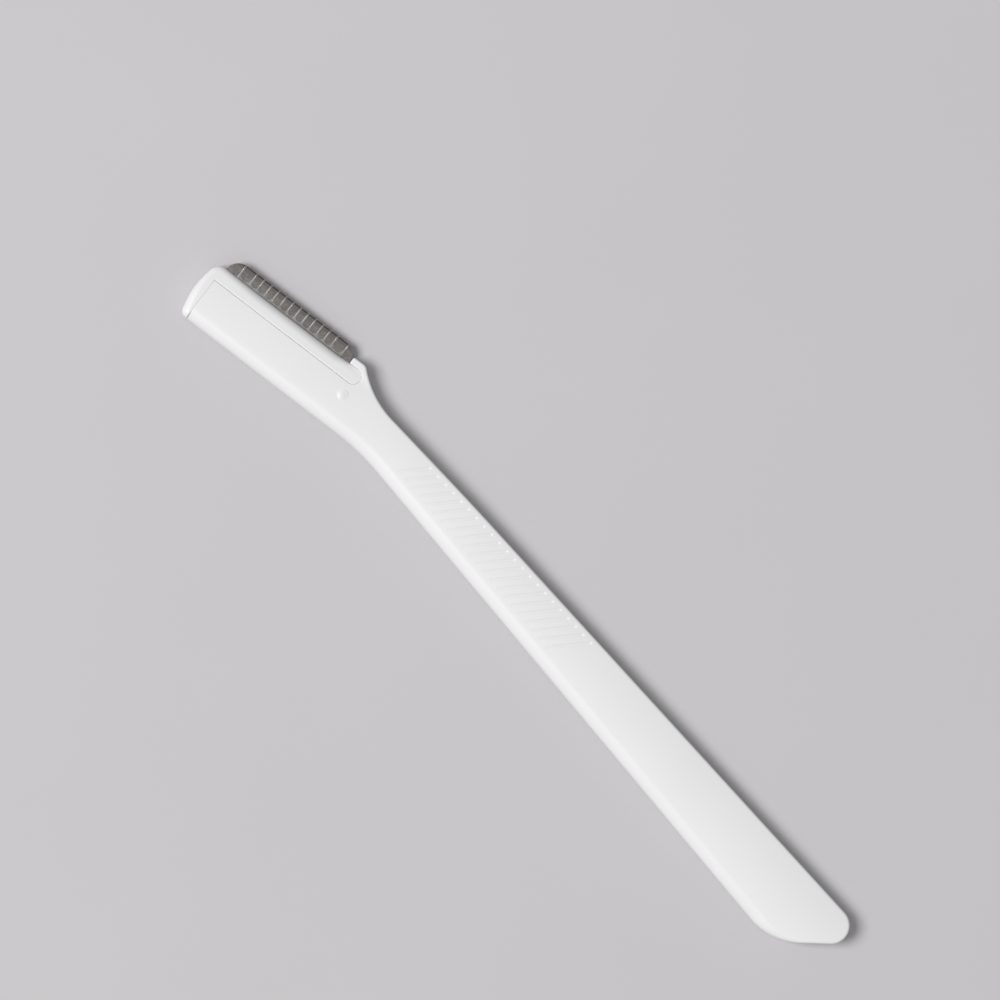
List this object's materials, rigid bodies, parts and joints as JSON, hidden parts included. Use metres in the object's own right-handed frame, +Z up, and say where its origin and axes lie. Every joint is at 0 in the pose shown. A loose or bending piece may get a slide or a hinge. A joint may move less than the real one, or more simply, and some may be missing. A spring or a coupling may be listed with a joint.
{
  "type": "eyebrow razor",
  "caption": "Long flat razor handle with a slanted grooved grip and a slightly bent head that carries a slide-on L-shaped cartridge with a guarded short steel blade.",
  "frame": {"origin": "on the underside of the handle, straight below the detent stud, where the handle's centreline meets the line of the head", "axes": "+X along the handle towards the head, -Y towards the side of the cutting edge, +Z up out of the face with the detent stud"},
  "size_m": [0.1613, 0.0187, 0.0047],
  "materials": {
    "handle_plastic": "satin white moulding",
    "carrier_plastic": "satin white moulding",
    "blade_steel": "rolled sheet with a finely ground bevel",
    "guard_steel": "thin rolled sheet, folded"
  },
  "bodies": {
    "handle": {"handle": "handle_plastic"},
    "cartridge": {"carrier_lower": "carrier_plastic", "carrier_upper": "carrier_plastic", "blade": "blade_steel", "guard": "guard_steel"}
  },
  "joints": [
    {"name": "cartridge_slide", "type": "slide", "parent": "handle", "child": "cartridge", "axis": [0.9803, 0.1977, 0], "range_m": [0, 0.032]}
  ]
}
